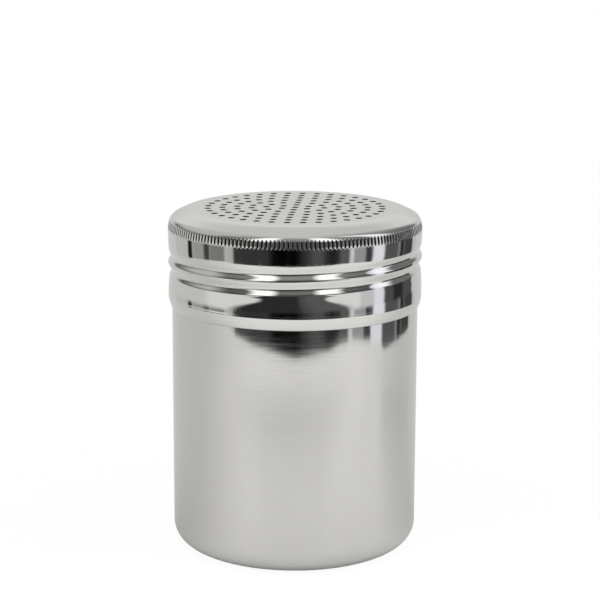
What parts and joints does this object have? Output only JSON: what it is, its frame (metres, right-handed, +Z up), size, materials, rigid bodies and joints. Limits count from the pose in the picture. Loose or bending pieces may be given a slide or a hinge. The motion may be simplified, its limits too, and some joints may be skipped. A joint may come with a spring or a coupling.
{
  "type": "spice shaker",
  "caption": "Free-standing cylindrical metal shaker: drawn can with a screw-on lid that has a knurled edge and rings of small holes in its top.",
  "frame": {"origin": "middle of the base, on the surface that the can stands on", "axes": "+Z up along the can's axis, -Y towards the front, where the thread's grooves cross at full depth; the thread fades out at the back"},
  "size_m": [0.0706, 0.0704, 0.0946],
  "materials": {
    "can_steel": "satin, finely brushed round the can, brighter towards the top",
    "lid_steel": "polished stainless steel skirt, satin top"
  },
  "bodies": {
    "can": {"can": "can_steel"},
    "lid": {"lid": "lid_steel"}
  },
  "joints": [
    {"name": "lid_lift", "type": "slide", "parent": "can", "child": "lid", "axis": [0, 0, 1], "range_m": [0, 0.048]}
  ]
}
